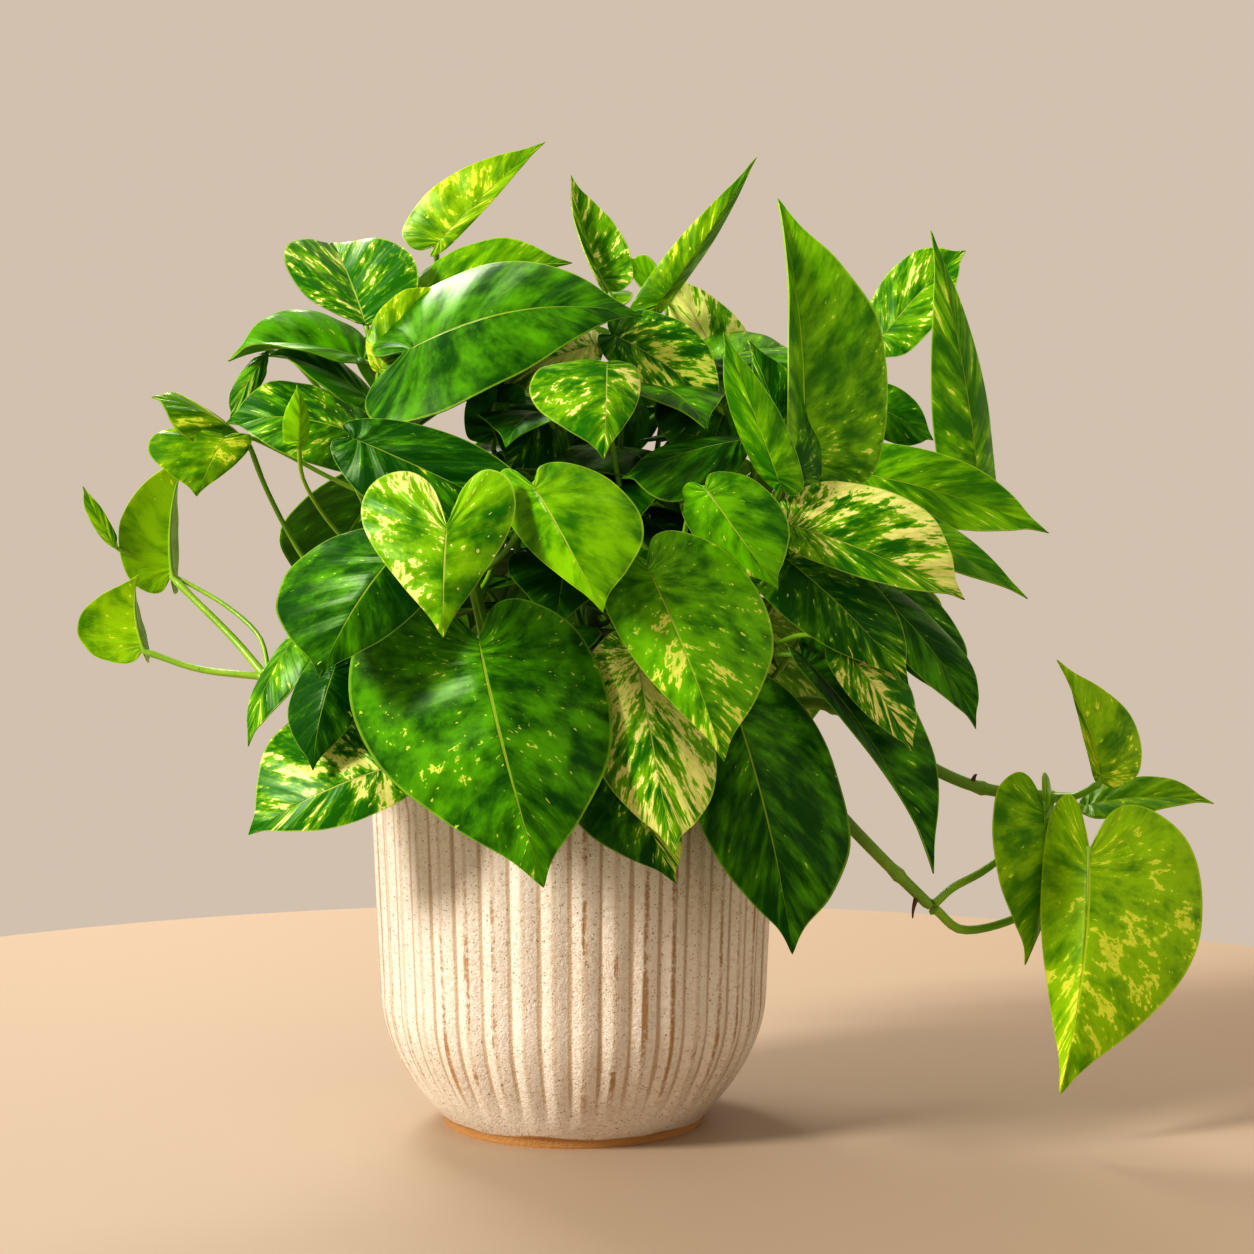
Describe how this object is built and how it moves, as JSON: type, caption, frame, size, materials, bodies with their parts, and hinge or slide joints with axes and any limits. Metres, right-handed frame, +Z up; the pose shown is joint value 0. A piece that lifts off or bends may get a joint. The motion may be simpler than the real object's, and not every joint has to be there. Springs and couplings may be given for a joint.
{
  "type": "potted pothos plant",
  "caption": "Bushy trailing house plant with heart-shaped green and cream leaves, growing in a round ribbed ceramic pot.",
  "frame": {"origin": "middle of the pot's flat foot, on the surface that the pot stands on", "axes": "+Z up; +X to the right of a person who faces the plant, towards the long trailing runner; +Y away from that person"},
  "size_m": [0.4503, 0.2904, 0.3872],
  "materials": {
    "glazed_stoneware": "cream glaze with fine brown speckles, worn to rust brown along the ribs; bare ochre clay at the foot",
    "soil": "dark crumbly potting soil with pale grains",
    "green_stem": "smooth pale green stem with ringed nodes",
    "leaf_dark": "glossy deep green leaf with a pale midrib and a few yellow flecks",
    "leaf_flecked": "glossy mid green leaf with many yellow flecks",
    "leaf_bright": "glossy bright green young leaf",
    "leaf_marbled": "glossy leaf marbled in cream and green"
  },
  "bodies": {
    "root": {"ribbed_pot": "glazed_stoneware", "potting_soil": "soil", "stem_front_left": "green_stem", "stem_front_right": "green_stem", "stem_left": "green_stem", "stem_right": "green_stem", "stem_back": "green_stem", "stem_back_right": "green_stem", "runner_left": "green_stem", "runner_right_low": "green_stem", "runner_right_high": "green_stem", "leaf_front_large": "leaf_dark", "leaf_front_heart": "leaf_marbled", "leaf_front_smile": "leaf_bright", "leaf_left_dark": "leaf_dark", "leaf_front_shelf": "leaf_dark", "leaf_front_right": "leaf_flecked", "leaf_front_marble": "leaf_marbled", "leaf_front_low": "leaf_dark", "leaf_front_tall": "leaf_dark", "leaf_mid_right": "leaf_flecked", "leaf_curled": "leaf_marbled", "leaf_upright_light": "leaf_bright", "leaf_tall_right": "leaf_bright", "leaf_back_right": "leaf_marbled", "leaf_needle_right": "leaf_bright", "leaf_right_high": "leaf_bright", "leaf_right_low": "leaf_bright", "leaf_right_variegated": "leaf_marbled", "leaf_right_blotched": "leaf_flecked", "leaf_right_hooked": "leaf_dark", "leaf_right_far": "leaf_dark", "leaf_left_horned": "leaf_bright", "leaf_left_arched": "leaf_flecked", "leaf_left_spread": "leaf_dark", "leaf_left_narrow": "leaf_flecked", "leaf_left_variegated": "leaf_marbled", "leaf_top_left": "leaf_marbled", "leaf_top_arch": "leaf_bright", "leaf_top_small": "leaf_bright", "leaf_arch_dark": "leaf_dark", "leaf_top_round": "leaf_marbled", "leaf_top_blade": "leaf_bright", "leaf_top_cream": "leaf_marbled", "leaf_back_low_left": "leaf_flecked", "leaf_back_low_mid": "leaf_dark", "leaf_back_low_right": "leaf_marbled", "leaf_back_mid_left": "leaf_dark", "leaf_back_mid": "leaf_bright", "leaf_back_mid_right": "leaf_flecked", "leaf_back_top_left": "leaf_bright", "leaf_back_top_right": "leaf_dark", "leaf_back_far_right": "leaf_bright", "leaf_trail_big": "leaf_flecked", "leaf_trail_left": "leaf_bright", "leaf_trail_upright": "leaf_flecked", "leaf_trail_side": "leaf_bright", "leaf_far_left_low": "leaf_bright", "leaf_far_left_high": "leaf_bright"}
  },
  "joints": []
}
